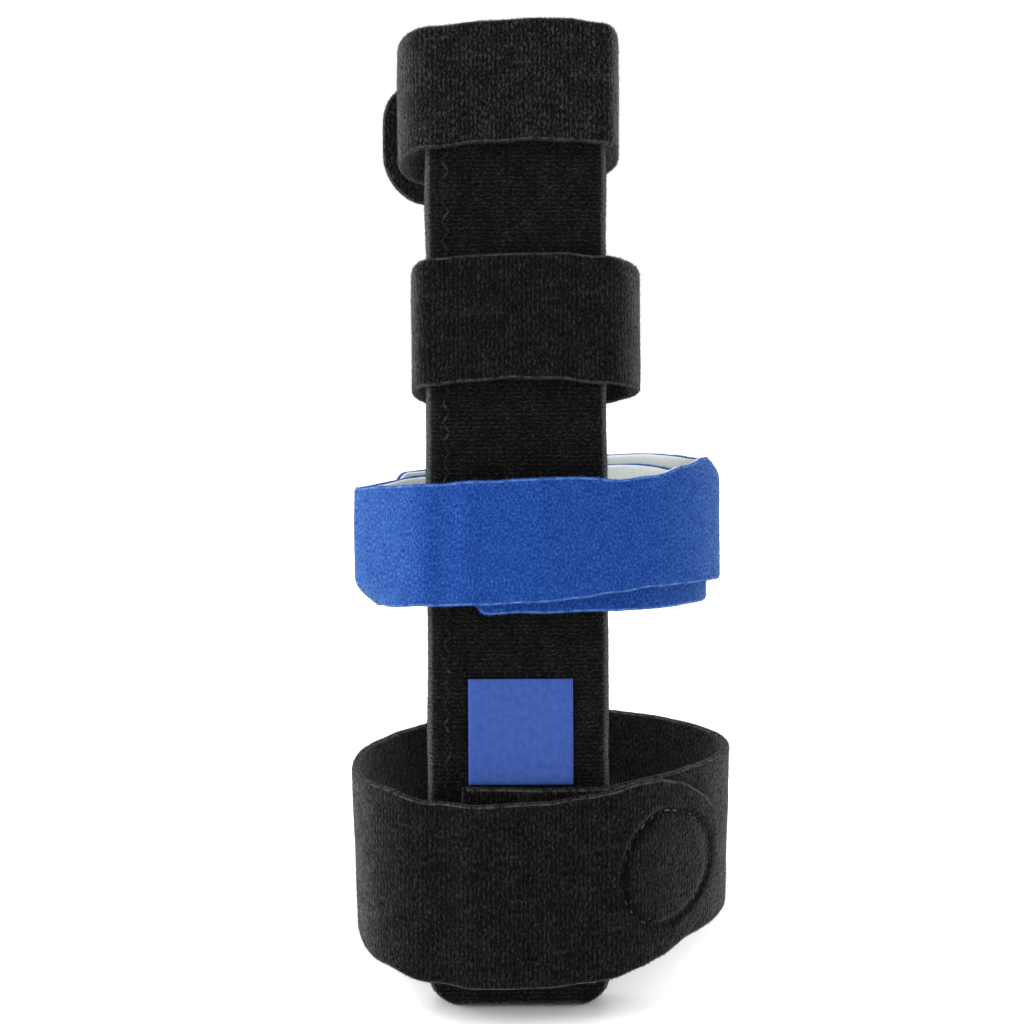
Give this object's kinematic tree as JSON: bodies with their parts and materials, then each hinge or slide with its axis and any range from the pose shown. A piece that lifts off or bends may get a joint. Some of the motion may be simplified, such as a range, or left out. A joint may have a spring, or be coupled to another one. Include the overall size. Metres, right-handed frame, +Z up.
{
  "type": "wrist and finger splint",
  "caption": "Padded bar splint for the palm side of a finger, the hand and the wrist, with finger straps, a hand strap and a wrist strap wound round it and closed on themselves.",
  "frame": {"origin": "on the floor that the splint stands on, under the middle of its bounding box", "axes": "+Z up, -Y towards the front that carries the label, +X to the right seen from the front; the bar leans back 7.7 degrees from +Z towards +Y"},
  "size_m": [0.0838, 0.084, 0.196],
  "materials": {
    "black_knit": "ribbed loop knit over foam",
    "black_loop": "brushed loop fabric",
    "blue_velour": "brushed velour",
    "white_foam": "open foam backing",
    "blue_satin": "woven satin, bare",
    "black_hook": "moulded hooks"
  },
  "bodies": {
    "root": {"padded_bar": "black_knit", "label": "blue_satin", "upper_finger_strap": "black_loop", "upper_finger_hook": "black_hook", "lower_finger_strap": "black_loop", "lower_finger_hook": "black_hook", "hand_strap_face": "blue_velour", "hand_strap_lining": "white_foam", "hand_hook": "black_hook", "wrist_strap": "black_loop", "wrist_hook": "black_hook"}
  },
  "joints": []
}
